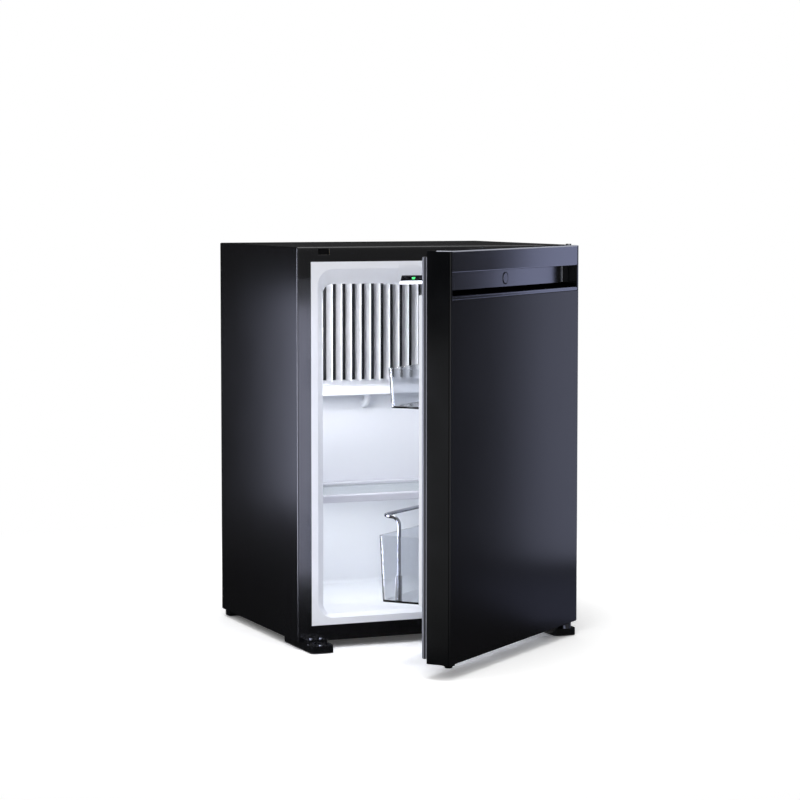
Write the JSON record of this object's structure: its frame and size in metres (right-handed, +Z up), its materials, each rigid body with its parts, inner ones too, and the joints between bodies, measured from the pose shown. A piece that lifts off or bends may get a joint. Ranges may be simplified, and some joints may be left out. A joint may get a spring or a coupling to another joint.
{
  "type": "minibar fridge",
  "caption": "Compact free-standing absorption minibar cabinet with a hinged door, handle recess across the door top, glass shelf, door bins, lit cavity and rear cooling unit.",
  "frame": {"origin": "on the floor under the middle of the closed appliance, half way across its width and its depth", "axes": "+X to the hinge side, +Y to the back, +Z up"},
  "size_m": [0.402, 0.68, 0.54],
  "materials": {
    "shell_black": "satin black powder coat on sheet steel",
    "handle_black": "satin black coat on an aluminium profile",
    "plastic_black": "fine-grained moulded black",
    "zinc_steel": "zinc-plated steel",
    "unit_black": "semi-matt black coat on steel pipe",
    "liner_white": "glossy white vacuum-formed sheet",
    "foam_cream": "rigid insulating foam",
    "fin_aluminium": "plain extruded aluminium",
    "shelf_glass": "clear toughened glass",
    "trim_grey": "pale grey moulding",
    "strip_black": "polished black",
    "lamp_green": "lit green lamp",
    "lens_white": "lit opal lens",
    "board_green": "circuit board",
    "gasket_grey": "soft grey sealing profile",
    "bin_smoke": "smoked clear moulding",
    "rail_chrome": "bright chrome-plated wire",
    "nylon_pale": "plain nylon",
    "cable_black": "cable sheath"
  },
  "bodies": {
    "cabinet": {"cabinet_shell": "shell_black", "base_pan": "shell_black", "back_panel": "zinc_steel", "cabinet_foam": "foam_cream", "inner_liner": "liner_white", "hinge_slot_plug": "plastic_black", "back_panel_screws": "zinc_steel", "left_front_foot": "plastic_black", "lower_hinge_foot": "plastic_black", "rear_feet": "plastic_black", "foot_screws": "zinc_steel", "lower_hinge_pin": "zinc_steel", "upper_hinge_arm": "zinc_steel", "evaporator_fins": "fin_aluminium", "evaporator_block": "fin_aluminium", "evaporator_tube": "unit_black", "drip_channel": "liner_white", "drain_tube": "liner_white", "shelf_glass": "shelf_glass", "shelf_front_trim": "trim_grey", "shelf_rear_trim": "trim_grey", "control_housing": "liner_white", "display_strip": "strip_black", "status_light": "lamp_green", "light_lens": "lens_white", "control_board": "board_green", "absorber_vessel": "unit_black", "absorber_coil": "unit_black", "gas_heat_exchanger": "unit_black", "boiler_tube": "unit_black", "boiler_casing": "zinc_steel", "boiler_insulation": "foam_cream", "heater_cartridge": "zinc_steel", "condenser_tube": "unit_black", "condenser_fins": "unit_black", "unit_straps": "zinc_steel", "electronics_box": "plastic_black", "power_inlet": "plastic_black", "heater_cable": "cable_black", "module_cable": "cable_black"},
    "door": {"door_panel": "shell_black", "door_frame": "plastic_black", "door_foam": "foam_cream", "door_liner": "liner_white", "door_gasket": "gasket_grey", "handle_trim": "handle_black", "handle_end_caps": "plastic_black", "lock_plug": "plastic_black", "upper_hinge_pin": "zinc_steel", "upper_hinge_block": "nylon_pale", "lower_hinge_bush": "nylon_pale", "spare_hinge_bush": "plastic_black"},
    "upper_bin": {"upper_bin": "bin_smoke"},
    "lower_bin": {"lower_bin": "bin_smoke", "bottle_rail": "rail_chrome"},
    "set_button": {"set_button": "strip_black"}
  },
  "joints": [
    {"name": "door_swing", "type": "hinge", "parent": "cabinet", "child": "door", "pos_m": [0.182, -0.213, 0], "axis": [0, 0, 1], "range_deg": [-39.5, 80]},
    {"name": "set_button_press", "type": "slide", "parent": "cabinet", "child": "set_button", "axis": [0, 0.8491, 0.5283], "range_m": [0, 0.001], "stiffness_N_per_m": 200},
    {"name": "upper_bin_lift", "type": "slide", "parent": "door", "child": "upper_bin", "axis": [0, 0, 1], "range_m": [0, 0.016]},
    {"name": "lower_bin_lift", "type": "slide", "parent": "door", "child": "lower_bin", "axis": [0, 0, 1], "range_m": [0, 0.016]}
  ]
}
